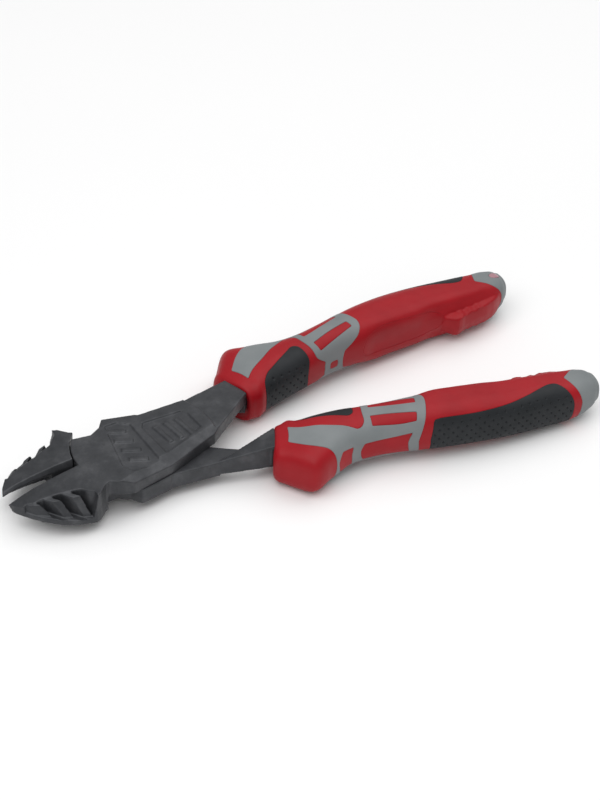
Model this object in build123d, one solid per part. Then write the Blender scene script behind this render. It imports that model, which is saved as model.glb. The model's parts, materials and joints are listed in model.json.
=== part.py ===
from build123d import *
import math
import os

# Lap-joint diagonal cutting pliers, 200 mm class, lying flat, jaws towards -X.
# Lever coordinates used by every function: pivot axis on Z through the origin, mid-plane of
# the tool at z = 0, jaws closed, the lever's handle on the +Y side and its jaw on the -Y side.
# A lever is placed by turning it open, mirroring it for the left-hand handle, and moving it
# to the pivot.

# ---- driving dimensions (mm, degrees) ----
PIVOT_X = -55.83           # pivot axis, measured from the middle of the tool's length
REST_HALF_ANGLE = 2.9      # each lever stands open by this much from jaws-closed
MID_Z = 9.7                # height of the tool's mid-plane over the table
HEAD_HALF = 5.75           # half of the head thickness
LAP_GAP = 0.03             # running gap each side of the lap plane
JOINT_RADIUS = 19.7        # front edge of each lap plate
ROOT_RADIUS = 20.0         # wall of the jaw root around the other lever's plate
JAW_LENGTH = 44.2          # pivot to tip
EDGE_GAP = 0.02            # between the two cutting edges when closed
STEP_RADIUS = 28.5         # arc step where the head ends and the shank begins
SHANK_HALF = 4.3           # half of the shank thickness at the handle's mouth
SHANK_TOP_FRONT = 5.1      # height of the shank's flat just behind the arc step
PIN_RADIUS = 5.0           # rivet shank
PIN_FIT = 0.03             # running clearance in the bottom lever
PIN_HEAD_RADIUS = 7.2      # flared rivet head
PIN_HEAD_DEPTH = 1.6
PIN_BLIND = 4.0            # depth of the rivet seat in the top lever
SKIN = 1.3                 # thickness of the inlaid grey and black mouldings
TANG_HALF = 3.2            # half thickness of the steel tang inside the handle

# Handle sections: distance behind the pivot, centre, half width, half thickness, centre's height
HANDLE_SECTIONS = [
    (38.0, 12.2, 6.0, 6.2, -2.0),
    (43.2, 14.2, 8.8, 7.0, -1.9),
    (50.8, 18.6, 12.7, 8.4, -1.3),
    (58.8, 18.0, 10.8, 8.8, -0.1),
    (66.8, 17.1, 8.5, 8.4, 0.8),
    (75.0, 17.7, 7.6, 8.1, 1.1),
    (83.0, 19.0, 7.3, 8.2, 1.4),
    (91.0, 20.1, 7.8, 8.4, 1.4),
    (99.0, 21.1, 8.3, 8.6, 1.3),
    (107.0, 22.0, 8.6, 8.4, 1.0),
    (122.0, 22.9, 8.5, 8.1, 0.0),
    (136.0, 22.8, 8.0, 7.8, -0.9),
    (146.0, 22.6, 7.5, 7.5, -1.4),
    (151.5, 22.8, 6.5, 6.6, -0.9),
    (155.0, 23.0, 4.8, 4.9, -0.4),
    (157.0, 23.2, 2.6, 2.7, -0.1),
]
COLLAR_INNER = (47.6, 4.0)     # the handle's mouth is cut off along a slanting line
COLLAR_OUTER = (39.2, 27.0)
SECTION_ROUND = 0.74       # corner radius as a share of the smaller half size
FIN_LOW = -4.6             # slip guard on the inner side, height limits
FIN_HIGH = 1.2
INNER_START = 34.0         # the skin's inner surface runs out past the handle's mouth
INNER_END = 3              # and leaves out this many of the rearmost sections

# Outlines seen from above: distance behind the pivot, distance across
PLATE_FAR_EDGE = [(-2.8, 16.0), (8.0, 13.2), (8.8, 12.6), (24.8, 12.6), (38.0, 15.4), (44.1, 16.7)]
PLATE_FRONT_NOTCH = [(-15.9, 11.6), (-9.4, 10.6), (-5.4, 12.7)]
PLATE_NEAR_EDGE = [(46.5, 7.5), (27.1, -6.2), (21.4, -8.1), (7.9, -13.0), (-7.3, -16.0), (-12.5, -14.2)]
HIDDEN_NEAR_EDGE = [(46.5, 7.5), (36.8, 10.4), (29.7, 6.6), (24.1, 3.2), (16.0, -4.0), (7.9, -9.5),
                    (-5.0, -14.0), (-12.5, -13.6)]
JAW_BACK = [(-43.4, -2.6), (-41.3, -5.7), (-37.2, -10.4), (-32.3, -14.0), (-27.0, -16.2),
            (-21.4, -17.2), (-19.5, -16.3), (-16.5, -13.6)]
JAW_TOP_BACK = [(-41.0, -4.9), (-38.3, -6.4), (-34.3, -7.1), (-29.0, -8.8), (-23.9, -10.9), (-22.4, -13.0),
                (-20.9, -14.6)]
RAMP_FOOT_OUTER = (24.5, 12.4)
RAMP_FOOT_INNER = (36.8, 10.4)
MOUTH_OUTER = (44.1, 16.7)
MOUTH_INNER = (46.5, 7.5)
TANG_LINE = [(43.0, 11.9), (50.0, 14.0), (60.0, 15.6), (83.0, 18.6), (113.0, 22.2), (138.0, 23.2)]
TANG_WIDTHS = [4.9, 4.4, 4.0, 3.6, 3.2, 2.6]

# Jaw faces
CREASE_X = -19.2           # top of the jaw starts to fall here
JAW_TOP_LINE = [(-60.2, -8.0), (-44.2, -1.0), (-40.0, 0.9), (-35.0, 2.5), (-27.0, 4.4), (CREASE_X, HEAD_HALF)]
TIP_BOTTOM = -3.6          # height of its underside at the tip
EDGE_DROP_TIP = 0.9        # depth of the narrow top bevel at the tip
EDGE_DROP_ROOT = 2.4       # and at the root
BEVEL_WIDTH = 0.9          # width of the narrow top bevel
EDGE_LAND = 0.15           # flat left under the bevel
# Relief under the edge: distance behind the pivot, how far the jaw is cut back there
RELIEF = [(-45.2, 0.6), (-41.0, 2.8), (-35.0, 4.6), (-27.5, 6.2)]
RELIEF_SLOPE = 0.95        # fall of the relief per millimetre cut back

# Hollow in the outer side of each jaw, with grip ribs left standing in it
FLANGE = 1.8               # thickness of the flange under the hollow
HOLLOW_REAR = -22.0        # the hollow's floor rises to its rim behind this
REAR_DROP = 1.2            # depth left at that rim
RIB_AT = [(-38.6, -6.8), (-33.6, -8.2), (-28.0, -10.0)]
RIB_TURN = 38              # ribs lean to the rear on their way outward
RIB_WIDTH = 1.4
CREST_DROP = 0.2           # crest of a rib under the jaw's top face, at the top face's edge


def points_3d(points, z):
    return [Vector(x, y, z) for x, y in points]


def prism(points, low, high):
    """Straight prism from an outline seen from above."""
    outline = Polyline(*points_3d(points, 0), close=True)
    face = make_face(outline)
    return Pos(0, 0, low) * extrude(face, high - low, dir=(0, 0, 1))


def polyhedron(vertices, faces):
    """Closed solid from flat faces given by corner numbers, each cut into triangles."""
    sides = []
    for corners in faces:
        for i in range(1, len(corners) - 1):
            triangle = [vertices[corners[0]], vertices[corners[i]], vertices[corners[i + 1]]]
            wire = Wire.make_polygon([Vector(*p) for p in triangle], close=True)
            sides.append(Face(wire))
    return Solid(Shell(sides))


def ruled_block(outlines):
    """Block through outlines with the same number of corners, joined by straight lines."""
    faces = [make_face(Polyline(*[Vector(*p) for p in outline], close=True)) for outline in outlines]
    return loft(faces, ruled=True)


def arc_points(radius, start, stop, count):
    """Points on a circle about the pivot, angles in degrees."""
    steps = [start + (stop - start) * i / (count - 1) for i in range(count)]
    return [(radius * math.cos(math.radians(a)), radius * math.sin(math.radians(a))) for a in steps]


def jaw_top_height(x):
    for (x0, z0), (x1, z1) in zip(JAW_TOP_LINE, JAW_TOP_LINE[1:]):
        if x <= x1:
            return z0 + (z1 - z0) * (x - x0) / (x1 - x0)
    return HEAD_HALF


def jaw_bottom_height(x):
    share = (CREASE_X - x) / (JAW_LENGTH + CREASE_X)
    return -HEAD_HALF + (TIP_BOTTOM + HEAD_HALF) * share


def slab_beyond(line, sign):
    """Large block whose inner face follows the (distance, height) line, on the sign side of it."""
    far = 30 * sign
    points = [*line, (line[-1][0], far), (line[0][0], far)]
    face = make_face(Polyline(*[Vector(x, 0, z) for x, z in points], close=True))
    return Pos(0, 40, 0) * extrude(face, 80, dir=(0, -1, 0))


def jaw_blank(lap_side):
    """Jaw on the -Y side, full thickness, cut back round the other lever's lap plate."""
    outline = [(-JAW_LENGTH, 0), *JAW_BACK, (-8, -10), (-8, 0)]
    blank = prism([(x, y - EDGE_GAP / 2) for x, y in outline], -HEAD_HALF, HEAD_HALF)
    depth = 2 * HEAD_HALF
    blank = blank - Pos(0, 0, lap_side * (LAP_GAP - depth / 2)) * Cylinder(ROOT_RADIUS, depth)
    blank = blank - slab_beyond(JAW_TOP_LINE, 1)
    front = JAW_TOP_LINE[0][0]
    under = [(front, jaw_bottom_height(front)), (CREASE_X, -HEAD_HALF)]
    return blank - slab_beyond(under, -1)


def edge_bevels():
    """Narrow bevel above each cutting edge and the relief below it."""
    tip = RELIEF[0][0]
    root = -ROOT_RADIUS + 1

    def edge_height(x):
        drop = EDGE_DROP_TIP + (EDGE_DROP_ROOT - EDGE_DROP_TIP) * (x - tip) / (root - tip)
        return jaw_top_height(x) - drop

    stations = [tip, -40.0, -35.0, -27.0, root]
    bevel = ruled_block([
        [(x, 0.5, edge_height(x)), (x, -EDGE_GAP / 2, edge_height(x)),
         (x, -BEVEL_WIDTH, jaw_top_height(x) + 0.05), (x, -BEVEL_WIDTH, 9), (x, 0.5, 9)]
        for x in stations
    ])
    relief = ruled_block([
        [(x, 0.5, edge_height(x) - EDGE_LAND), (x, -EDGE_GAP, edge_height(x) - EDGE_LAND),
         (x, -cut, edge_height(x) - EDGE_LAND - cut * RELIEF_SLOPE), (x, -cut, -12), (x, 0.5, -12)]
        for x, cut in RELIEF
    ])
    return bevel, relief


def jaw_width_line(x):
    """Outer side of the jaw at a distance from the pivot."""
    for (x0, y0), (x1, y1) in zip(JAW_BACK, JAW_BACK[1:]):
        if x <= x1:
            return y0 + (y1 - y0) * (x - x0) / (x1 - x0)
    return JAW_BACK[-1][1]


def jaw_hollow():
    """Hollow in the jaw's outer side, open outward, with the space of its grip ribs left out."""
    over = 3.0
    crest = []
    deep = []
    for x, y in JAW_TOP_BACK:
        top = jaw_top_height(x)
        floor = top - REAR_DROP if x > HOLLOW_REAR else jaw_bottom_height(x) + FLANGE
        outer = jaw_width_line(x)
        width = y - outer
        wall = min(1.0, 0.4 * width)
        crest.append([
            (x, y, top + 0.5), (x, y, top - CREST_DROP),
            (x, y - 0.4 * width, top - CREST_DROP - 0.1 * (top - floor)),
            (x, y - 0.75 * width, floor + 0.3),
            (x, outer - over, floor), (x, outer - over, top + 0.5),
        ])
        deep.append([
            (x, y, top + 0.5), (x, y - 0.1, top - CREST_DROP),
            (x, y - 0.3 * wall, floor + 0.4 * (top - floor)),
            (x, y - wall, floor),
            (x, outer - over, floor), (x, outer - over, top + 0.5),
        ])
    hollow = ruled_block(deep)
    for x, y in RIB_AT:
        hollow = hollow - Pos(x, y, 0) * Rot(0, 0, RIB_TURN) * Box(RIB_WIDTH, 60, 60)
    return hollow, ruled_block(crest)


def jaw(lap_side):
    solid = jaw_blank(lap_side)
    for cut in (*edge_bevels(), *jaw_hollow()):
        solid = solid - cut
    return solid


def shank_top(side):
    """Ramp that brings the shank from the lap plane to full height on the given side of it."""
    z = SHANK_HALF * side
    base = -0.6 * side
    fo, fi, mo, mi = RAMP_FOOT_OUTER, RAMP_FOOT_INNER, MOUTH_OUTER, MOUTH_INNER
    gap = LAP_GAP * side * -1
    vertices = [
        (*fo, gap), (*fi, gap), (*mi, z), (*mo, z),
        (*fo, base), (*fi, base), (*mi, base), (*mo, base),
    ]
    faces = [
        (4, 5, 6, 7), (6, 2, 3, 7), (0, 2, 1), (0, 3, 2),
        (4, 0, 1, 5), (5, 1, 2, 6), (4, 7, 3, 0),
    ]
    return polyhedron(vertices, faces)


def tang():
    """Steel bar inside the handle."""
    left = []
    right = []
    for i, (x, y) in enumerate(TANG_LINE):
        before = TANG_LINE[max(i - 1, 0)]
        after = TANG_LINE[min(i + 1, len(TANG_LINE) - 1)]
        run = math.hypot(after[0] - before[0], after[1] - before[1])
        nx = -(after[1] - before[1]) / run
        ny = (after[0] - before[0]) / run
        half = TANG_WIDTHS[i]
        left.append((x + nx * half, y + ny * half))
        right.append((x - nx * half, y - ny * half))
    return prism(left + right[::-1], -TANG_HALF, TANG_HALF)


def lap_half(near_edge):
    """Lap plate and shank of one lever above the lap plane."""
    front = arc_points(JOINT_RADIUS, 218, 144, 9)
    outline = [*near_edge, *front, *PLATE_FRONT_NOTCH[1:], *PLATE_FAR_EDGE]
    plate = prism(outline, LAP_GAP, HEAD_HALF)
    beyond = prism([(20, -20), (60, -20), (60, 30), (20, 30)], 0, 2 * HEAD_HALF)
    beyond = beyond - Cylinder(STEP_RADIUS, 6 * HEAD_HALF)
    slope = Polyline(
        Vector(STEP_RADIUS - 8, 0, SHANK_TOP_FRONT),
        Vector(STEP_RADIUS, 0, SHANK_TOP_FRONT),
        Vector(MOUTH_INNER[0] + 2, 0, SHANK_HALF),
        Vector(MOUTH_INNER[0] + 2, 0, -3),
        Vector(STEP_RADIUS - 8, 0, -3),
        close=True,
    )
    slope = Pos(0, 40, 0) * extrude(make_face(slope), 80, dir=(0, -1, 0))
    return plate - (beyond - slope)


def near_chamfer():
    """Broad chamfer along the near edge of the top plate."""
    (x0, y0), (x1, y1) = PLATE_NEAR_EDGE[4], PLATE_NEAR_EDGE[1]
    run = math.hypot(x1 - x0, y1 - y0)
    ux, uy = (x1 - x0) / run, (y1 - y0) / run
    wide, deep, over = 2.6, 1.5, 4.0
    sections = []
    for px, py in ((x0 - 14 * ux, y0 - 14 * uy), (x1 + 4 * ux, y1 + 4 * uy)):
        inner = (px - uy * wide, py + ux * wide)
        outer = (px + uy * over, py - ux * over)
        drop = deep * (wide + over) / wide
        sections.append([(*inner, HEAD_HALF), (*outer, HEAD_HALF - drop), (*outer, 9), (*inner, 9)])
    return ruled_block(sections)


def size_windows():
    """Two shallow sunk fields in the top plate, with plain bars in place of markings."""
    sunk = 0.5
    top = HEAD_HALF
    front = prism([(-3.6, 12.4), (1.0, 12.6), (4.4, 9.6), (4.6, -12.2), (-5.4, -12.0), (-7.6, -8.0)],
                  top - sunk, top + 1)
    rear = prism([(6.9, 6.2), (8.2, 8.4), (22.4, 8.0), (23.6, 5.8), (24.2, -2.4), (10.6, -8.0), (8.0, -8.9)],
                 top - sunk, top + 1)
    for i in range(4):
        bar = Pos(-1.2, 8.4 - 5.2 * i, top) * Rot(0, 0, -24) * Box(6.0, 1.6, 3)
        front = front - bar
    for i in range(3):
        bar = Pos(11.5 + 4.0 * i, 0.3 + 0.2 * i, top) * Rot(0, 0, 8) * Box(1.5, 9.5, 3)
        rear = rear - bar
    return front, rear


def top_lever():
    """Lever with the upper lap plate: jaw on -Y, handle on +Y."""
    plate = lap_half(PLATE_NEAR_EDGE)
    ramp = shank_top(-1)
    body = plate + jaw(1) + ramp + tang()
    body = body - near_chamfer()
    for field in size_windows():
        body = body - field
    seat = Pos(0, 0, PIN_BLIND / 2) * Cylinder(PIN_RADIUS, PIN_BLIND)
    return body - seat


def bottom_lever():
    """Lever with the lower lap plate, built with its handle on +Y and mirrored on placing."""
    plate = mirror(lap_half(HIDDEN_NEAR_EDGE), Plane.XY)
    ramp = shank_top(1)
    body = plate + jaw(-1) + ramp + tang()
    bore = Cylinder(PIN_RADIUS + PIN_FIT, 4 * HEAD_HALF)
    sink = PIN_HEAD_DEPTH + 0.05
    flare = Pos(0, 0, -HEAD_HALF + sink / 2) * Cone(
        PIN_HEAD_RADIUS + 0.05, PIN_RADIUS + PIN_FIT, sink)
    return body - bore - flare


def pivot_rivet():
    """Rivet pressed into the top lever and flared under the bottom lever."""
    low = -HEAD_HALF
    shank = Pos(0, 0, (low + PIN_BLIND) / 2) * Cylinder(PIN_RADIUS, PIN_BLIND - low)
    head = Pos(0, 0, low + PIN_HEAD_DEPTH / 2) * Cone(PIN_HEAD_RADIUS, PIN_RADIUS, PIN_HEAD_DEPTH)
    return shank + head


def handle_section(x, centre, half_width, half_height, height):
    plane = Plane(origin=(x, centre, height), x_dir=(0, 1, 0), z_dir=(1, 0, 0))
    corner = SECTION_ROUND * min(half_width, half_height)
    return plane * RectangleRounded(2 * half_width, 2 * half_height, corner)


def handle_outer():
    body = loft([handle_section(*row) for row in HANDLE_SECTIONS])
    (x0, y0), (x1, y1) = COLLAR_INNER, COLLAR_OUTER
    slope = (x1 - x0) / (y1 - y0)
    front = prism([(x0 - 10 * slope, y0 - 10), (x1 + 10 * slope, y1 + 10), (20, y1 + 10), (20, y0 - 10)],
                  -20, 20)
    return body - front


def handle_inner():
    """The handle's shape sunk by the thickness of the inlaid mouldings."""
    rows = [(x, y, a - SKIN, b - SKIN, z) for x, y, a, b, z in HANDLE_SECTIONS[:-INNER_END]]
    x, y, a, b, z = rows[0]
    rows.insert(0, (INNER_START, y - 0.6, a - 0.8, b - 0.4, z))
    return loft([handle_section(*row) for row in rows])


def grip_fin():
    """Slip guard that stands up on the inner side near the end of the handle."""
    outline = [(127.0, 17.5), (129.0, 13.2), (130.8, 11.2), (133.0, 11.1), (136.0, 12.2), (147.0, 14.6),
               (149.5, 17.5)]
    return prism(outline, FIN_LOW, FIN_HIGH)


def side_prism(points, near, far):
    """Prism across the handle from an outline of (distance behind pivot, height) points."""
    outline = Polyline(*[Vector(x, near, z) for x, z in points], close=True)
    return extrude(make_face(outline), far - near, dir=(0, 1, 0))


def lattice_region():
    """Grey inlay seen from above: front panel, two rings and the bars between them."""
    panel = [(49.8, 10.4), (46.9, 20.4), (55.0, 24.6), (58.5, 26.0), (61.0, 40.0), (84.0, 40.0),
             (90.5, 27.0), (94.2, 20.0), (96.0, 14.0), (94.0, 0.0), (78.0, 0.0), (76.0, 10.0),
             (74.8, 14.5), (71.0, 18.6), (64.0, 16.2), (57.0, 12.6)]
    region = prism(panel, -20, 20)
    inner_window = prism([(77.2, 13.0), (92.4, 15.2), (92.2, 17.7), (76.8, 15.1)], -20, 20)
    outer_window = prism([(75.4, 19.6), (90.0, 22.6), (88.0, 24.6), (74.2, 22.6)], -20, 20)
    region = region - inner_window - outer_window
    side_window = side_prism([(69.0, 4.4), (85.0, 5.2), (83.0, -5.2), (67.0, -4.4)], 22, 50)
    small_window = side_prism([(62.5, 4.0), (65.6, 4.2), (64.0, -4.2), (60.5, -4.0)], 22, 50)
    slot = side_prism([(84.0, 1.3), (88.6, 1.3), (89.4, 0), (88.6, -1.3), (84.0, -1.3), (83.2, 0)], -10, 14)
    return region - side_window - small_window - slot


def inner_pad_region():
    outline = [(53.5, 0.0), (53.8, 8.6), (55.7, 10.0), (59.4, 11.5), (65.8, 15.0), (69.4, 16.4),
               (71.0, 15.1), (72.0, 12.4), (72.6, 10.0), (72.6, 0.0)]
    return prism(outline, -20, 20)


def palm_pad_region():
    outline = [(91.6, 42.0), (97.0, 26.0), (106.0, 28.4), (114.5, 29.0), (125.4, 28.0), (136.8, 25.4),
               (141.5, 26.4), (143.6, 30.0), (140.0, 42.0)]
    return prism(outline, -20, 20)


def end_cap_region():
    outline = [(146.0, 0.0), (145.2, 19.0), (147.4, 24.0), (147.0, 28.0), (144.8, 40.0), (170.0, 40.0),
               (170.0, 0.0)]
    return prism(outline, -20, 20)


def end_badge(outer):
    """Small oval plate let into the top of the end cap."""
    disc = Pos(151.6, 21.2, 0) * extrude(Ellipse(3.0, 2.0), 20, dir=(0, 0, 1))
    floor = Pos(151.6, 21.2, 0) * extrude(Ellipse(3.0, 2.0), 3.8, dir=(0, 0, 1))
    return (disc - floor) & outer


def grip_parts(steel, badged):
    """Every moulding of one handle, in lever coordinates. Only one handle's cap has a badge."""
    outer = handle_outer()
    inner = handle_inner()
    skin = outer - inner
    pieces = {
        "lattice": skin & lattice_region(),
        "inner_pad": skin & inner_pad_region(),
        "palm_pad": skin & palm_pad_region(),
        "end_cap": skin & end_cap_region(),
    }
    if badged:
        pieces["end_badge"] = end_badge(outer)
        pieces["end_cap"] = pieces["end_cap"] - pieces["end_badge"]
    core = outer + grip_fin()
    for piece in pieces.values():
        core = core - piece
    pieces["sleeve"] = core - steel
    return pieces


def place(shape, side):
    """Open the lever, put it on the right (+1) or left (-1) hand, and lift it to the table frame."""
    turned = Rot(0, 0, REST_HALF_ANGLE) * shape
    if side < 0:
        turned = mirror(turned, Plane.XZ)
    return Pos(PIVOT_X, 0, MID_Z) * turned


def solids_of(shape):
    """Shape with stray slivers dropped, as one compound of solids."""
    keep = [s for s in shape.solids() if s.volume > 0.5]
    return keep[0] if len(keep) == 1 else Compound(children=keep)


def save(name, shape, side):
    export_step(place(solids_of(shape), side), f"parts/{name}.step")


def main():
    os.makedirs("parts", exist_ok=True)
    levers = {"right": (top_lever(), 1), "left": (bottom_lever(), -1)}
    save("top_lever", levers["right"][0], 1)
    save("bottom_lever", levers["left"][0], -1)
    save("pivot_rivet", pivot_rivet(), 1)
    for hand, (steel, side) in levers.items():
        for piece, shape in grip_parts(steel, side > 0).items():
            save(f"{hand}_{piece}", shape, side)


main()
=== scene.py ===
import json
import math

import bmesh
import bpy
import numpy as np
from mathutils import Matrix, Vector


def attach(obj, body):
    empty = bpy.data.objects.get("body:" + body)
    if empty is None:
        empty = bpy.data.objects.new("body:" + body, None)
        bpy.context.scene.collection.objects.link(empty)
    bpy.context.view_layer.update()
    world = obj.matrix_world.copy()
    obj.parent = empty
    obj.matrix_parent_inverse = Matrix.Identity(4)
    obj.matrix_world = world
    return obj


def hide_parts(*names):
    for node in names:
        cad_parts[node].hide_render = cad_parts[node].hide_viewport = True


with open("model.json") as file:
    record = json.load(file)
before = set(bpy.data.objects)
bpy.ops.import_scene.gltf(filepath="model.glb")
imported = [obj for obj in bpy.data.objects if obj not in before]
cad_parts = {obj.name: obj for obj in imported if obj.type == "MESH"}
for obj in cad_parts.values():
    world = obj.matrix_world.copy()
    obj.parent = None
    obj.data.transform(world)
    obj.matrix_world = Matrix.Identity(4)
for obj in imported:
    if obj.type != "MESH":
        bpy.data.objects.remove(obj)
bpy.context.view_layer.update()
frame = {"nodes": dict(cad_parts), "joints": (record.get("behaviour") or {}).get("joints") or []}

# Handle surfaces are worked out in millimetres in lever coordinates: pivot axis on Z through the
# origin, mid-plane at z = 0, handle towards +X and +Y. place() turns them into the row frame.
MM = 0.001
PIVOT = Vector(frame["joints"][0]["pos_m"])
REST_HALF_ANGLE = math.radians(2.9)
BODY = {1: "top_half", -1: "bottom_half"}
HAND = {1: "right", -1: "left"}

# Handle sections: distance behind the pivot, centre, half width, half thickness, centre's height
SECTIONS = np.array([
    (38.0, 12.2, 6.0, 6.2, -2.0),
    (43.2, 14.2, 8.8, 7.0, -1.9),
    (50.8, 18.6, 12.7, 8.4, -1.3),
    (58.8, 18.0, 10.8, 8.8, -0.1),
    (66.8, 17.1, 8.5, 8.4, 0.8),
    (75.0, 17.7, 7.6, 8.1, 1.1),
    (83.0, 19.0, 7.3, 8.2, 1.4),
    (91.0, 20.1, 7.8, 8.4, 1.4),
    (99.0, 21.1, 8.3, 8.6, 1.3),
    (107.0, 22.0, 8.6, 8.4, 1.0),
    (122.0, 22.9, 8.5, 8.1, 0.0),
    (136.0, 22.8, 8.0, 7.8, -0.9),
    (146.0, 22.6, 7.5, 7.5, -1.4),
    (151.5, 22.8, 6.5, 6.6, -0.9),
    (155.0, 23.0, 4.8, 4.9, -0.4),
    (157.0, 23.2, 2.2, 2.3, -0.1),
    (157.5, 23.2, 0.0, 0.0, 0.0),
])
TAIL = 157.5
TAIL_ROUND = 8.0                   # length at the tail where the rows of the grid draw together
FRONT_LIMIT = 38.2                 # a moulding's face takes its normals no farther forward
MOUTH_GUESS = 43.0
MEAN_RADIUS = 8.3
COLLAR_INNER = (47.6, 4.0)
COLLAR_OUTER = (39.2, 27.0)
FIN_X = (127.6, 129.3, 130.8, 132.0, 133.4, 135.0, 137.0, 140.5, 144.5, 148.0, 152.0)
FIN_HEIGHT = (0.0, 1.4, 3.0, 3.7, 3.5, 2.9, 2.6, 2.3, 1.9, 1.2, 0.0)
FIN_MID, FIN_HALF, FIN_FLARE, FIN_EDGE = -1.8, 2.8, 0.5, 1.4
WAVE_START, WAVE_PITCH, WAVE_DEPTH = 134.0, 3.6, 0.22
HOLLOW_DEPTH, HUMP_HEIGHT, DISH_DEPTH = 0.9, 0.7, 0.5


def smooth(t):
    t = np.clip(t, 0.0, 1.0)
    return t * t * (3 - 2 * t)


def window(x, start, stop, soft):
    return smooth((x - start) / soft) * smooth((stop - x) / soft)


def hermite(x, column):
    """Smooth curve through one column of the section table."""
    xs, ys = SECTIONS[:, 0], SECTIONS[:, column]
    slope = np.gradient(ys, xs)
    i = np.clip(np.searchsorted(xs, x) - 1, 0, len(xs) - 2)
    h = xs[i + 1] - xs[i]
    t = (x - xs[i]) / h
    return ((2 * t**3 - 3 * t**2 + 1) * ys[i] + (t**3 - 2 * t**2 + t) * h * slope[i]
            + (3 * t**2 - 2 * t**3) * ys[i + 1] + (t**3 - t**2) * h * slope[i + 1])


def section(x):
    c, a, b, h = (hermite(x, k) for k in (1, 2, 3, 4))
    return c, np.maximum(a, 0.0), np.maximum(b, 0.0), h


def folded(x, phi):
    """Angle from the top or bottom ridge: -90 on the inner side of the handle, 90 on the outer.

    Below the mid-plane the outer side's angles are drawn towards 90, which stretches the pattern there."""
    c, y, z = plain_point(x, phi, 0.0)
    angle = np.degrees(np.arctan2(y - c, np.abs(z)))
    low = np.clip((angle - 10) / 80, 0, 1) * (z < 0)
    return angle + (90 - angle) * 0.5 * low ** 0.5


def plain_point(x, phi, inset):
    """Section centre and the surface point without its raised and sunk details."""
    c, a, b, h = section(x)
    a = np.maximum(a - inset, 1e-3)
    b = np.maximum(b - inset, 1e-3)
    s, k = np.sin(phi), np.cos(phi)
    inner = smooth((0.1 - s) / 0.4)
    n = 2.6 + 1.5 * inner * window(x, 92, 150, 10) + 0.5 * window(x, 30, 56, 6)
    r = (np.abs(s / a) ** n + np.abs(k / b) ** n) ** (-1 / n)
    return c, c + r * s, h + r * k


def detail(x, y, z, c, s):
    """Height of the moulded details over the plain surface."""
    inner = smooth((-s - 0.35) / 0.25)
    angle = np.degrees(np.arctan2(y - c, np.abs(z)))
    fin = np.interp(x, FIN_X, FIN_HEIGHT)
    wave = np.cos(2 * math.pi * (x - WAVE_START) / WAVE_PITCH)
    half = FIN_HALF + FIN_FLARE * smooth((x - 132) / 14) + WAVE_DEPTH * wave * window(x, 133.0, 143, 2)
    up = fin * (1 - smooth((np.abs(z - FIN_MID) - half) / FIN_EDGE)) * inner
    hollow = -HOLLOW_DEPTH * np.exp(-((angle + 56) / 15) ** 2) * window(x, 116, 151, 9) * inner
    hump = HUMP_HEIGHT * np.exp(-((x - 51.3) / 1.7) ** 2) * smooth((-angle - 45) / 20)
    dish = -DISH_DEPTH * window(x, 95, 129, 5) * np.exp(-((angle + 88) / 30) ** 2)
    return up + hollow + hump + dish


def handle_point(x, phi, inset=0.0):
    c, y, z = plain_point(x, phi, inset)
    s, k = np.sin(phi), np.cos(phi)
    bump = detail(x, y, z, c, s) * (inset <= 0)
    return np.stack([x + 0 * phi, y + bump * s, z + bump * k], -1)


def handle_normal(x, phi):
    d = 0.05
    along = handle_point(x + d, phi) - handle_point(x - d, phi)
    across = handle_point(x, phi + d / 8) - handle_point(x, phi - d / 8)
    n = np.cross(along, across)
    n /= np.maximum(np.linalg.norm(n, axis=-1, keepdims=True), 1e-9)
    return n


def place(points, side):
    """Lever coordinates in millimetres to the row frame in metres, at rest."""
    c, s = math.cos(REST_HALF_ANGLE), math.sin(REST_HALF_ANGLE)
    x, y, z = points[:, 0], points[:, 1], points[:, 2]
    out = np.stack([x * c - y * s, side * (x * s + y * c), z], -1) * MM
    return out + np.array(PIVOT)


# ---- outlines on the handle: distance behind the pivot, folded angle, corner radius ----
ARC = MEAN_RADIUS * math.pi / 180  # millimetres along the surface per degree
LATTICE = [
    (49.4, -46, 0.5), (56.8, -14, 4), (61.8, 9, 6), (66, 23, 5), (69.3, 36, 1.6), (71.0, 33, 1.6),
    (72.5, 22, 3), (73.2, 0, 6), (74.7, -30, 5), (75.3, -49, 3), (76.8, -58, 2), (79.0, -68, 0.8),
    (78.6, -80, 0.6), (78.9, -100, 0), (86.2, -100, 0), (86.3, -80, 1), (86.9, -62, 0.8), (89.6, -54, 2),
    (93.1, -42, 3), (94.8, -28, 4), (95.2, -14, 5), (94.3, 4, 8), (92.5, 30, 6), (90.3, 61, 4),
    (89.0, 100, 0), (59.9, 100, 0), (59.5, 76, 4), (58.8, 63, 4), (57.2, 52, 3), (55.3, 45.5, 2),
    (46.8, 16, 0.5),
]
WINDOWS = [
    [(76.4, -16, 0.4), (77.6, -39, 0.4), (85.0, -29, 5), (92.2, -20, 0.4), (91.5, -4, 0.4), (84, -8, 6)],
    [(75.1, 11, 0.4), (74.4, 35, 0.4), (83.4, 40, 6), (89.0, 39, 0.4), (90.0, 21, 0.4), (82, 14, 8)],
    [(71.0, 70, 0.5), (79.7, 67, 8), (87.3, 62, 0.5), (86.0, 82, 3), (85.6, 120, 0), (69.4, 120, 0),
     (69.7, 84, 3)],
    [(62.2, 69, 0.5), (66.9, 70, 0.5), (66.4, 84, 2), (65.8, 120, 0), (59.9, 120, 0), (60.8, 84, 2)],
    [(84.2, -78, 0.8), (84.4, -100, 0), (80.9, -100, 0), (81.2, -78, 0.8)],
]
INNER_PAD = [
    (53.5, -100, 0), (53.5, -76, 2), (53.8, -64, 3), (56.0, -48, 3), (59.8, -35, 4), (65.5, -13, 3),
    (68.7, -1, 2.0), (70.8, -8, 2.5), (71.9, -30, 4), (72.4, -46, 4), (71.5, -68, 3), (71.2, -100, 0),
]
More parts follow.
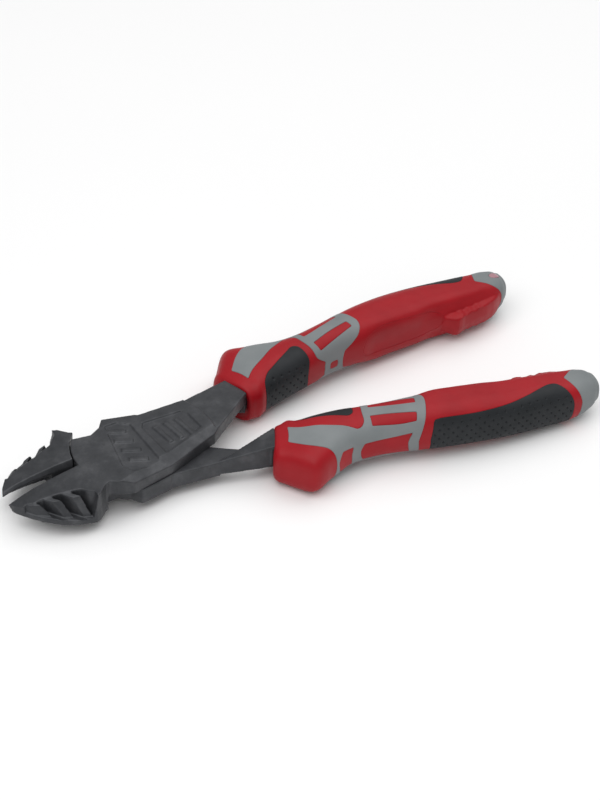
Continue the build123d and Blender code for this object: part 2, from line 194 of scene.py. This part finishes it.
PALM_PAD = [
    (92.9, 110, 0), (94.0, 60, 3), (94.6, 43, 1.0), (97, 41.5, 2), (111.1, 44, 10), (122.4, 40, 6),
    (131.0, 28, 5), (137.6, 12, 3), (140.6, 13, 3), (142.8, 34, 4), (145.2, 68, 4), (145.8, 110, 0),
]
CAP = [
    (152.9, -120, 0), (152.9, -66, 3), (148.3, -27, 3), (144.9, -2, 0.8), (145.9, 24, 3), (148.3, 70, 4),
    (149.2, 120, 0), (190, 120, 0), (190, -120, 0),
]
STADIUM = [
    (94.2, -100, 6), (95.6, -64, 7), (101, -49, 4), (113, -52, 9), (124.6, -55, 5), (128.6, -76, 7),
    (126.4, -104, 6), (118, -112, 6), (104, -114, 6), (96, -114, 5),
]
BADGE_X = 153.3
BADGE_HALF = (2.1, 1.4)


def rounded(outline):
    """Outline in millimetres with each corner turned into a short curve of its own radius."""
    pts = np.array([(x, a * ARC) for x, a, _ in outline], float)
    out = []
    count = len(pts)
    for i in range(count):
        here, before, after = pts[i], pts[i - 1], pts[(i + 1) % count]
        radius = outline[i][2]
        back, ahead = before - here, after - here
        lb, la = np.linalg.norm(back), np.linalg.norm(ahead)
        reach = min(radius, 0.48 * lb, 0.48 * la)
        if reach < 0.05:
            out.append(here)
            continue
        start, stop = here + back / lb * reach, here + ahead / la * reach
        for t in np.linspace(0, 1, 9):
            out.append((1 - t) ** 2 * start + 2 * t * (1 - t) * here + t * t * stop)
    return np.array(out)


def polygon_distance(px, py, poly):
    """Signed distance to a closed outline, negative inside."""
    best = np.full(px.shape, 1e9)
    inside = np.zeros(px.shape, bool)
    for i in range(len(poly)):
        (ax, ay), (bx, by) = poly[i - 1], poly[i]
        ex, ey = bx - ax, by - ay
        wx, wy = px - ax, py - ay
        t = np.clip((wx * ex + wy * ey) / max(ex * ex + ey * ey, 1e-12), 0, 1)
        best = np.minimum(best, (wx - ex * t) ** 2 + (wy - ey * t) ** 2)
        if abs(by - ay) > 1e-12:
            crosses = (ay > py) != (by > py)
            inside ^= crosses & (px < ex * (py - ay) / (by - ay) + ax)
    return np.where(inside, -1, 1) * np.sqrt(best)


OUTLINES = {name: rounded(points) for name, points in (
    ("lattice", LATTICE), ("inner_pad", INNER_PAD), ("palm_pad", PALM_PAD), ("cap", CAP),
    ("stadium", STADIUM))}
WINDOW_OUTLINES = [rounded(points) for points in WINDOWS]


def outline_distance(name):
    return lambda x, phi: polygon_distance(x, folded(x, phi) * ARC, OUTLINES[name])


def lattice_distance(x, phi):
    v = folded(x, phi) * ARC
    d = polygon_distance(x, v, OUTLINES["lattice"])
    for poly in WINDOW_OUTLINES:
        d = np.maximum(d, -polygon_distance(x, v, poly))
    return d


def stadium_distance(x, phi):
    """The engraved outline runs over the middle of the inner side without being mirrored."""
    turn = np.degrees(np.arctan2(np.sin(phi), np.cos(phi)))
    turn = np.where(turn > 90, turn - 360, turn)
    return polygon_distance(x, turn * ARC, OUTLINES["stadium"])


def badge_distance(x, phi):
    p = handle_point(x, phi)
    c = hermite(x, 1)
    u = (x - BADGE_X) / BADGE_HALF[0]
    v = (p[..., 1] - c) / BADGE_HALF[1]
    d = (np.sqrt(u * u + v * v) - 1) * BADGE_HALF[1]
    return np.where(p[..., 2] > 0, d, 5.0)


cap_distance = outline_distance("cap")
inner_pad_distance = outline_distance("inner_pad")
palm_pad_distance = outline_distance("palm_pad")


def badged_cap_distance(x, phi):
    return np.maximum(cap_distance(x, phi), -badge_distance(x, phi))


def red_distance(x, phi):
    inlays = np.minimum(lattice_distance(x, phi), cap_distance(x, phi))
    inlays = np.minimum(inlays, np.minimum(inner_pad_distance(x, phi), palm_pad_distance(x, phi)))
    return -inlays


def sleeve_distance(x, phi):
    return np.maximum(red_distance(x, phi), -stadium_distance(x, phi))


def mouth_x(phi):
    """The collar's front edge follows a slanting plane."""
    (x0, y0), (x1, y1) = COLLAR_INNER, COLLAR_OUTER
    slope = (x1 - x0) / (y1 - y0)
    x = np.full(phi.shape, MOUTH_GUESS)
    for _ in range(8):
        _, y, _ = plain_point(x, phi, 0.0)
        x = x0 + slope * (y - y0)
    return x


LIP = 1.3
# Rows inside the collar's mouth, from the steel out to the lip: how far in, and how far back
MOUTH_ROWS = ((5.6, 3.0), (4.6, 1.0), (3.6, 0.45), (2.6, 0.15), (1.9, 0.0))


def handle_grid(rows, columns, start=None, stop=None, with_lip=False):
    """Arrays of x, phi and inset over the handle, or over one stretch of it."""
    phi = -math.pi + 2 * math.pi * np.arange(columns) / columns
    first = mouth_x(phi)
    if start is None:
        t = np.linspace(0, 1, rows)[:, None]
        x = (first + LIP) + t * (TAIL - first - LIP)
        tail = TAIL - TAIL_ROUND
        u = np.clip((x - tail) / TAIL_ROUND, 0, 1)
        x = np.where(x > tail, tail + TAIL_ROUND * np.sin(u * math.pi / 2), x)
    else:
        x = np.linspace(start, stop, rows)[:, None] + 0 * phi
    inset = np.zeros_like(x)
    if with_lip:
        extra_x, extra_in = [], []
        for deep, back in MOUTH_ROWS:
            extra_x.append(first + back)
            extra_in.append(np.full(columns, deep))
        for beta in np.linspace(math.pi / 2, 0, 7)[:-1]:
            extra_x.append(first + LIP * (1 - math.sin(beta)))
            extra_in.append(np.full(columns, LIP * (1 - math.cos(beta))))
        x = np.vstack([extra_x, x])
        inset = np.vstack([extra_in, inset])
    return x, phi + 0 * x, inset


def cut_patch(x, phi, inset, distance, level):
    """The part of the grid where distance < level, cut along its outline.

    Returns corner arrays (x, phi, inset), faces, and outline edges in face order."""
    d = distance(x, phi) - level
    rows, columns = x.shape
    inside = d < 0
    number = -np.ones(x.shape, int)
    number[inside] = np.arange(inside.sum())
    px, pp, pi = list(x[inside]), list(phi[inside]), list(inset[inside])
    right = np.roll(number, -1, 1)
    full = inside & np.roll(inside, -1, 1)
    full = full[:-1] & full[1:]
    faces = np.stack([number[:-1][full], right[:-1][full], right[1:][full], number[1:][full]], -1)
    faces = [tuple(f) for f in faces]
    some = inside | np.roll(inside, -1, 1)
    some = (some[:-1] | some[1:]) & ~full
    cuts, edges = {}, []

    def crossing(a, b):
        key = (a, b) if a < b else (b, a)
        if key not in cuts:
            (ra, ca), (rb, cb) = key
            da, db = d[ra, ca], d[rb, cb]
            t = da / (da - db)
            pa, pb = phi[ra, ca], phi[rb, cb]
            if pb - pa > math.pi:
                pb -= 2 * math.pi
            if pa - pb > math.pi:
                pb += 2 * math.pi
            cuts[key] = len(px)
            px.append(x[ra, ca] * (1 - t) + x[rb, cb] * t)
            pp.append(pa * (1 - t) + pb * t)
            pi.append(inset[ra, ca] * (1 - t) + inset[rb, cb] * t)
        return cuts[key]

    for i, j in zip(*np.nonzero(some)):
        k = (j + 1) % columns
        ring = [(i, j), (i, k), (i + 1, k), (i + 1, j)]
        face, marks = [], []
        for n in range(4):
            a, b = ring[n], ring[(n + 1) % 4]
            if inside[a]:
                face.append(number[a])
            if inside[a] != inside[b]:
                face.append(crossing(a, b))
                marks.append((len(face) - 1, bool(inside[a])))
        if len(face) >= 3:
            faces.append(tuple(face))
            for position, leaving in marks:
                if leaving:
                    edges.append((face[position], face[(position + 1) % len(face)]))
    return np.array(px), np.array(pp), np.array(pi), faces, edges


# Edge of a piece: how far out past its cut line, and how far down
EDGE_ROUND = ((0.07, -0.03), (0.12, -0.13), (0.12, -0.8))
EDGE_LEVEL = -0.12
GRADIENT_STEP = 0.02
SHARP_ANGLE = math.radians(50)


def patch_mesh(name, side, grid, distance, lift, relief=None):
    """One moulding of a handle: its face on the handle's surface and its edge turned down."""
    x, phi, inset = grid
    px, pp, pin, faces, edges = cut_patch(x, phi, inset, distance, EDGE_LEVEL)
    up = np.where(pin > 0, 0.0, lift)
    base = handle_point(px, pp, pin)
    normal = handle_normal(np.maximum(px, FRONT_LIMIT), pp)
    if relief is not None:
        up = up + relief(px, pp, distance)
    points = [base + normal * up[:, None]]
    if edges:
        rim = sorted({v for e in edges for v in e})
        place_in = {v: i for i, v in enumerate(rim)}
        rx, rp = px[rim], pp[rim]
        e = GRADIENT_STEP
        gx = (distance(rx + e, rp) - distance(rx - e, rp)) / (2 * e)
        turn = e / MEAN_RADIUS
        gp = (distance(rx, rp + turn) - distance(rx, rp - turn)) / (2 * e)
        size = np.maximum(np.hypot(gx, gp), 1e-6)
        gx, gp = gx / size, gp / size
        before = list(rim)
        total = len(px)
        for out, drop in EDGE_ROUND:
            qx, qp = rx + gx * out, rp + gp * out / MEAN_RADIUS
            points.append(handle_point(qx, qp) + handle_normal(qx, qp) * (lift + drop))
            now = [total + i for i in range(len(rim))]
            total += len(rim)
            for a, b in edges:
                i, j = place_in[a], place_in[b]
                faces.append((before[j], before[i], now[i], now[j]))
            before = now
    points = place(np.vstack(points), side)
    if side < 0:
        faces = [f[::-1] for f in faces]
    mesh = bpy.data.meshes.new(name)
    mesh.from_pydata(points.tolist(), [], [tuple(int(v) for v in f[::-1]) for f in faces])
    bm = bmesh.new()
    bm.from_mesh(mesh)
    bmesh.ops.remove_doubles(bm, verts=bm.verts, dist=2e-6)
    bmesh.ops.dissolve_degenerate(bm, dist=1e-6, edges=bm.edges)
    bm.to_mesh(mesh)
    bm.free()
    mesh.shade_smooth()
    mesh.set_sharp_from_angle(angle=SHARP_ANGLE)
    return mesh


def dimples(pitch_x, pitch_z, radius, depth, allowed):
    """Staggered round pits over the part of a pad where allowed(x, angle) is true."""
    def relief(x, phi, distance):
        v = handle_point(x, phi)[..., 2]
        best = np.full(x.shape, 9.0)
        for shift in (0.0, 0.5):
            u = (x / pitch_x - shift + 0.5) % 1.0 - 0.5
            w = (v / pitch_z - shift + 0.5) % 1.0 - 0.5
            best = np.minimum(best, np.hypot(u * pitch_x, w * pitch_z))
        pit = -depth * (1 - smooth((best - radius * 0.25) / (radius * 0.75)))
        clear = smooth((-distance(x, phi) - 0.7) / 0.25)
        return pit * clear * allowed(x, folded(x, phi))
    return relief


# ---- materials ----
def new_material(name, colour, rough, metallic=0.0, specular=0.5):
    m = bpy.data.materials.new(name)
    m.use_nodes = True
    bsdf = m.node_tree.nodes["Principled BSDF"]
    bsdf.inputs["Base Color"].default_value = (*colour, 1)
    bsdf.inputs["Roughness"].default_value = rough
    bsdf.inputs["Metallic"].default_value = metallic
    bsdf.inputs["Specular IOR Level"].default_value = specular
    return m, bsdf


def noise(tree, scale, detail_level, roughness=0.55):
    coords = tree.nodes.new("ShaderNodeTexCoord")
    node = tree.nodes.new("ShaderNodeTexNoise")
    node.inputs["Scale"].default_value = scale
    node.inputs["Detail"].default_value = detail_level
    node.inputs["Roughness"].default_value = roughness
    tree.links.new(coords.outputs["Object"], node.inputs["Vector"])
    return node.outputs["Fac"]


def ramp(tree, factor, stops):
    node = tree.nodes.new("ShaderNodeValToRGB")
    node.color_ramp.elements[0].position = stops[0][0]
    node.color_ramp.elements[0].color = (*stops[0][1], 1)
    node.color_ramp.elements[1].position = stops[-1][0]
    node.color_ramp.elements[1].color = (*stops[-1][1], 1)
    for position, colour in stops[1:-1]:
        node.color_ramp.elements.new(position).color = (*colour, 1)
    tree.links.new(factor, node.inputs["Fac"])
    return node.outputs["Color"]


def spread(tree, factor, low, high):
    node = tree.nodes.new("ShaderNodeMapRange")
    node.inputs["From Min"].default_value = 0.3
    node.inputs["From Max"].default_value = 0.7
    node.inputs["To Min"].default_value = low
    node.inputs["To Max"].default_value = high
    tree.links.new(factor, node.inputs["Value"])
    return node.outputs["Result"]


def add_bump(tree, bsdf, layers):
    """Bump layers of (noise scale, strength, height in metres), fed one into the next."""
    last = None
    for scale, strength, height in layers:
        node = tree.nodes.new("ShaderNodeBump")
        node.inputs["Strength"].default_value = strength
        node.inputs["Distance"].default_value = height
        tree.links.new(noise(tree, scale, 3.0), node.inputs["Height"])
        if last is not None:
            tree.links.new(last, node.inputs["Normal"])
        last = node.outputs["Normal"]
    tree.links.new(last, bsdf.inputs["Normal"])


def moulded(name, dark, light, rough_low, rough_high, grain, strength, specular=0.5):
    """Moulded plastic or rubber: slight cloudiness, uneven sheen and a spark-eroded grain."""
    m, bsdf = new_material(name, light, rough_low, specular=specular)
    tree = m.node_tree
    cloudy = noise(tree, 90, 4.0)
    tree.links.new(ramp(tree, cloudy, [(0.3, dark), (0.7, light)]), bsdf.inputs["Base Color"])
    tree.links.new(spread(tree, noise(tree, 260, 5.0), rough_low, rough_high), bsdf.inputs["Roughness"])
    add_bump(tree, bsdf, [(grain, strength, 0.00004), (350, 0.05, 0.0003)])
    return m


def blackened_steel(name):
    m, bsdf = new_material(name, (0.036, 0.038, 0.042), 0.42, metallic=0.4, specular=0.4)
    tree = m.node_tree
    cloudy = noise(tree, 140, 6.0, 0.65)
    colour = ramp(tree, cloudy, [(0.28, (0.032, 0.034, 0.038)), (0.50, (0.047, 0.049, 0.054)),
                                 (0.72, (0.078, 0.080, 0.086))])
    tree.links.new(colour, bsdf.inputs["Base Color"])
    tree.links.new(spread(tree, noise(tree, 700, 4.0), 0.34, 0.50), bsdf.inputs["Roughness"])
    add_bump(tree, bsdf, [(3400, 0.35, 0.00006), (900, 0.12, 0.00012)])
    return m


RED = moulded("red_plastic", (0.29, 0.003, 0.008), (0.35, 0.005, 0.011), 0.40, 0.52, 2600, 0.25, 0.25)
GREY = moulded("grey_rubber", (0.175, 0.192, 0.197), (0.212, 0.228, 0.233), 0.46, 0.60, 2200, 0.35, 0.3)
BLACK = moulded("black_rubber", (0.011, 0.013, 0.015), (0.019, 0.021, 0.024), 0.46, 0.60, 2400, 0.35, 0.25)
BADGE = moulded("badge_plastic", (0.34, 0.16, 0.19), (0.44, 0.24, 0.27), 0.25, 0.35, 1200, 0.05)
STEEL = blackened_steel("blackened_steel")


# ---- handles ----
def add_piece(name, mesh, material, body, node):
    mesh.materials.clear()
    mesh.materials.append(material)
    obj = bpy.data.objects.new(name, mesh)
    bpy.context.scene.collection.objects.link(obj)
    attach(obj, body)
    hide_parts(node)


def join_meshes(name, meshes):
    bm = bmesh.new()
    for mesh in meshes:
        bm.from_mesh(mesh)
    joined = bpy.data.meshes.new(name)
    bm.to_mesh(joined)
    bm.free()
    joined.shade_smooth()
    joined.set_sharp_from_angle(angle=SHARP_ANGLE)
    return joined


PIT = dict(pitch_x=3.1, pitch_z=3.6, radius=0.50, depth=0.42)
palm_dots = dimples(**PIT, allowed=lambda x, a: smooth((a - 48) / 2) * (x > 93))
inner_dots = dimples(**PIT, allowed=lambda x, a: smooth((-a - 50) / 2))

# Grid of each moulding: rows and columns, and how far its face stands over the handle's surface
ROWS, COLUMNS, FINE_COLUMNS = 330, 150, 260
LATTICE_LIFT, PAD_LIFT, CAP_LIFT, BADGE_LIFT, LABEL_LIFT = 0.10, 0.06, 0.05, 0.10, -0.02


def make_handle(side):
    hand, body = HAND[side], BODY[side]
    coarse = handle_grid(ROWS, COLUMNS)
    lipped = handle_grid(ROWS, COLUMNS, with_lip=True)
    stretch = handle_grid(150, COLUMNS, 45.0, 97.0)
    pad_rear = handle_grid(270, FINE_COLUMNS, 91.0, 147.0)
    pad_front = handle_grid(100, FINE_COLUMNS, 52.0, 74.0)
    label = handle_grid(110, COLUMNS, 92.0, 131.0)
    sleeve = join_meshes(f"{hand}_sleeve_mesh", [
        patch_mesh("red", side, lipped, sleeve_distance, 0.0),
        patch_mesh("label", side, label, stadium_distance, LABEL_LIFT),
    ])
    add_piece(f"{hand}_sleeve_skin", sleeve, RED, body, f"{hand}_sleeve")
    add_piece(f"{hand}_lattice_skin",
              patch_mesh("lattice", side, stretch, lattice_distance, LATTICE_LIFT),
              GREY, body, f"{hand}_lattice")
    add_piece(f"{hand}_inner_pad_skin",
              patch_mesh("inner", side, pad_front, inner_pad_distance, PAD_LIFT, inner_dots),
              BLACK, body, f"{hand}_inner_pad")
    add_piece(f"{hand}_palm_pad_skin",
              patch_mesh("palm", side, pad_rear, palm_pad_distance, PAD_LIFT, palm_dots),
              BLACK, body, f"{hand}_palm_pad")
    cap = badged_cap_distance if side > 0 else cap_distance
    add_piece(f"{hand}_end_cap_skin", patch_mesh("cap", side, coarse, cap, CAP_LIFT),
              GREY, body, f"{hand}_end_cap")
    if side > 0:
        badge = handle_grid(60, COLUMNS, 149.5, 157.0)
        add_piece(f"{hand}_end_badge_skin",
                  patch_mesh("badge", side, badge, badge_distance, BADGE_LIFT),
                  BADGE, body, f"{hand}_end_badge")


# ---- steel ----
BAR_CUT = 62 * MM                  # behind the pivot, hidden inside the handle
VOXEL = 0.24 * MM
EASE_FACTOR, EASE_ROUNDS = 0.5, 3
KEPT_SHARE = 0.45                  # of the remeshed faces


def forged(node, body):
    """The lever's CAD shape remeshed, with softened edges; the bar inside the handle is cut short."""
    source = frame["nodes"][node]
    bm = bmesh.new()
    bm.from_mesh(source.data)
    bmesh.ops.remove_doubles(bm, verts=bm.verts, dist=1e-7)
    cut = PIVOT.x + BAR_CUT
    geom = bm.verts[:] + bm.edges[:] + bm.faces[:]
    made = bmesh.ops.bisect_plane(bm, geom=geom, plane_co=(cut, 0, 0), plane_no=(1, 0, 0),
                                  clear_outer=True)
    rim = [g for g in made["geom_cut"] if isinstance(g, bmesh.types.BMEdge)]
    bmesh.ops.edgeloop_fill(bm, edges=rim)
    mesh = bpy.data.meshes.new(node + "_forging")
    bm.to_mesh(mesh)
    bm.free()
    obj = bpy.data.objects.new(node + "_forging", mesh)
    bpy.context.scene.collection.objects.link(obj)
    remesh = obj.modifiers.new("remesh", "REMESH")
    remesh.mode = "VOXEL"
    remesh.voxel_size = VOXEL
    ease = obj.modifiers.new("ease", "SMOOTH")
    ease.factor = EASE_FACTOR
    ease.iterations = EASE_ROUNDS
    thin = obj.modifiers.new("thin", "DECIMATE")
    thin.ratio = KEPT_SHARE
    graph = bpy.context.evaluated_depsgraph_get()
    final = bpy.data.meshes.new_from_object(obj.evaluated_get(graph))
    obj.modifiers.clear()
    obj.data = final
    final.materials.clear()
    final.materials.append(STEEL)
    final.shade_smooth()
    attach(obj, body)
    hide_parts(node)


for which in (1, -1):
    make_handle(which)
forged("top_lever", "top_half")
forged("bottom_lever", "bottom_half")
frame["nodes"]["pivot_rivet"].data.materials.clear()
frame["nodes"]["pivot_rivet"].data.materials.append(STEEL)


# ---- stage, light and camera ----
def make_floor():
    size, steps = 3.0, 24
    bm = bmesh.new()
    bmesh.ops.create_grid(bm, x_segments=steps, y_segments=steps, size=size)
    for v in bm.verts:
        v.co.z = -0.00005
    mesh = bpy.data.meshes.new("floor")
    bm.to_mesh(mesh)
    bm.free()
    m, bsdf = new_material("paper", (0.93, 0.93, 0.93), 0.9, specular=0.2)
    tree = m.node_tree
    tree.links.new(ramp(tree, noise(tree, 3, 2.0), [(0.3, (0.92, 0.92, 0.92)), (0.7, (0.94, 0.94, 0.94))]),
                   bsdf.inputs["Base Color"])
    mesh.materials.append(m)
    obj = bpy.data.objects.new("floor", mesh)
    bpy.context.scene.collection.objects.link(obj)


def area_light(name, where, towards, size, power):
    data = bpy.data.lights.new(name, "AREA")
    data.shape = "RECTANGLE"
    data.size, data.size_y = size
    data.energy = power
    obj = bpy.data.objects.new(name, data)
    bpy.context.scene.collection.objects.link(obj)
    obj.location = where
    obj.rotation_euler = (Vector(towards) - Vector(where)).to_track_quat("-Z", "Y").to_euler()


def make_world():
    world = bpy.data.worlds.new("studio")
    bpy.context.scene.world = world
    world.use_nodes = True
    back = world.node_tree.nodes["Background"]
    back.inputs["Color"].default_value = (1.0, 1.0, 1.0, 1)
    back.inputs["Strength"].default_value = 0.42


# Camera: angles in radians, distance in metres, lens and aim in pixels of a picture 800 high
AZIMUTH = -0.49135787
ELEVATION = 0.67621242
ROLL = 0.03181384
DISTANCE = 1.050
FOCAL_PX = 3203.7
PICTURE_PX = 800.0
SENSOR = 36.0
AIM_OFFSET = (24.15, 15.19)
AIM_POINT = Vector((PIVOT.x + 0.052, 0.0, PIVOT.z))


def make_camera():
    az, el = AZIMUTH, ELEVATION
    back = Vector((math.sin(az) * math.cos(el), -math.cos(az) * math.cos(el), math.sin(el)))
    right = Vector((math.cos(az), math.sin(az), 0))
    up = back.cross(right)
    c, s = math.cos(ROLL), math.sin(ROLL)
    right, up = c * right + s * up, c * up - s * right
    look = (-back + right * (AIM_OFFSET[0] / FOCAL_PX) + up * (AIM_OFFSET[1] / FOCAL_PX)).normalized()
    side = look.cross(up).normalized()
    top = side.cross(look)
    data = bpy.data.cameras.new("camera")
    data.sensor_width = SENSOR
    data.sensor_fit = "AUTO"
    data.lens = FOCAL_PX * SENSOR / PICTURE_PX
    data.clip_start, data.clip_end = 0.05, 20.0
    obj = bpy.data.objects.new("camera", data)
    bpy.context.scene.collection.objects.link(obj)
    turn = Matrix((side, top, -look)).transposed().to_4x4()
    obj.matrix_world = Matrix.Translation(AIM_POINT + back * DISTANCE) @ turn
    bpy.context.scene.camera = obj


bpy.context.scene.view_settings.view_transform = "Standard"
make_floor()
make_world()
area_light("key", (-0.40, -0.25, 0.90), (0, 0, 0), (1.1, 0.9), 6)
area_light("fill", (0.45, 0.15, 0.95), (0, 0, 0), (1.2, 1.0), 5)
make_camera()
